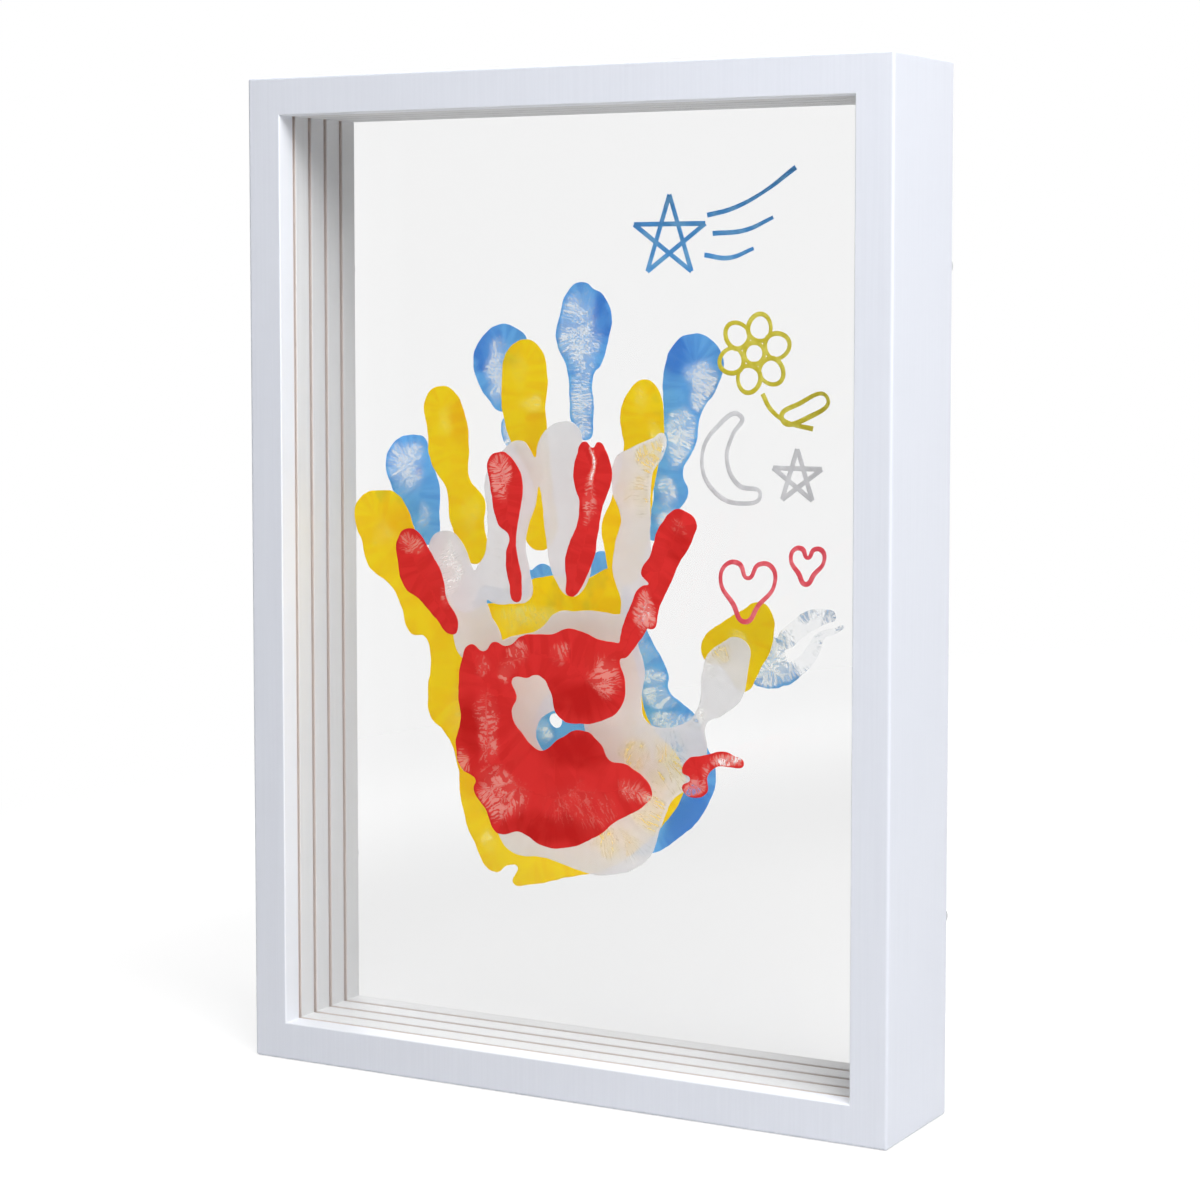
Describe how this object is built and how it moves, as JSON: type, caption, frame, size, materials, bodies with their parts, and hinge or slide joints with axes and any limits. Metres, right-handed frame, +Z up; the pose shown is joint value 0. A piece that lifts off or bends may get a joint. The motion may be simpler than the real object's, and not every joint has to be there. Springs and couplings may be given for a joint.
{
  "type": "handprint frame",
  "caption": "Deep white see-through frame that holds clear panes one behind the other, each with a painted handprint, kept in by turn buttons on the back.",
  "frame": {"origin": "under the middle of the frame, on the underside of the bottom rail, halfway between its front and back faces", "axes": "+Z up along the frame's height, +X to the right seen from the front, +Y from the front face to the back"},
  "size_m": [0.24, 0.0506, 0.34],
  "materials": {
    "painted_moulding": "satin white paint over fine grain",
    "painted_strip": "matt white paint",
    "clear_acrylic": "polished clear sheet",
    "paint_red": "dried acrylic paint",
    "paint_white": "dried acrylic paint",
    "paint_yellow": "dried acrylic paint",
    "paint_blue": "dried acrylic paint",
    "zinc_plated_steel": "bright zinc plate"
  },
  "bodies": {
    "frame": {"top_rail": "painted_moulding", "bottom_rail": "painted_moulding", "left_stile": "painted_moulding", "right_stile": "painted_moulding", "pane_1": "clear_acrylic", "pane_2": "clear_acrylic", "pane_3": "clear_acrylic", "pane_4": "clear_acrylic", "spacer_1_top": "painted_strip", "spacer_1_bottom": "painted_strip", "spacer_1_left": "painted_strip", "spacer_1_right": "painted_strip", "spacer_2_top": "painted_strip", "spacer_2_bottom": "painted_strip", "spacer_2_left": "painted_strip", "spacer_2_right": "painted_strip", "spacer_3_top": "painted_strip", "spacer_3_bottom": "painted_strip", "spacer_3_left": "painted_strip", "spacer_3_right": "painted_strip", "back_ring_top": "painted_strip", "back_ring_bottom": "painted_strip", "back_ring_left": "painted_strip", "back_ring_right": "painted_strip", "handprint_red": "paint_red", "handprint_white": "paint_white", "handprint_yellow": "paint_yellow", "handprint_blue": "paint_blue", "turn_button_screws": "zinc_plated_steel", "corner_v_nails": "zinc_plated_steel", "sawtooth_hanger": "zinc_plated_steel", "hanger_nails": "zinc_plated_steel"},
    "button_top_left": {"turn_button_top_left": "zinc_plated_steel"},
    "button_top_right": {"turn_button_top_right": "zinc_plated_steel"},
    "button_bottom_left": {"turn_button_bottom_left": "zinc_plated_steel"},
    "button_bottom_right": {"turn_button_bottom_right": "zinc_plated_steel"},
    "button_left_upper": {"turn_button_left_upper": "zinc_plated_steel"},
    "button_left_lower": {"turn_button_left_lower": "zinc_plated_steel"},
    "button_right_upper": {"turn_button_right_upper": "zinc_plated_steel"},
    "button_right_lower": {"turn_button_right_lower": "zinc_plated_steel"}
  },
  "joints": [
    {"name": "turn_top_left", "type": "hinge", "parent": "frame", "child": "button_top_left", "pos_m": [-0.055, 0.024, 0.3365], "axis": [0, 1, 0], "continuous": true},
    {"name": "turn_top_right", "type": "hinge", "parent": "frame", "child": "button_top_right", "pos_m": [0.055, 0.024, 0.3365], "axis": [0, 1, 0], "continuous": true},
    {"name": "turn_bottom_left", "type": "hinge", "parent": "frame", "child": "button_bottom_left", "pos_m": [-0.055, 0.024, 0.0035], "axis": [0, 1, 0], "range_deg": [-90, 90]},
    {"name": "turn_bottom_right", "type": "hinge", "parent": "frame", "child": "button_bottom_right", "pos_m": [0.055, 0.024, 0.0035], "axis": [0, 1, 0], "range_deg": [-90, 90]},
    {"name": "turn_left_upper", "type": "hinge", "parent": "frame", "child": "button_left_upper", "pos_m": [-0.1165, 0.024, 0.275], "axis": [0, 1, 0], "continuous": true},
    {"name": "turn_left_lower", "type": "hinge", "parent": "frame", "child": "button_left_lower", "pos_m": [-0.1165, 0.024, 0.065], "axis": [0, 1, 0], "continuous": true},
    {"name": "turn_right_upper", "type": "hinge", "parent": "frame", "child": "button_right_upper", "pos_m": [0.1165, 0.024, 0.275], "axis": [0, 1, 0], "continuous": true},
    {"name": "turn_right_lower", "type": "hinge", "parent": "frame", "child": "button_right_lower", "pos_m": [0.1165, 0.024, 0.065], "axis": [0, 1, 0], "continuous": true}
  ]
}
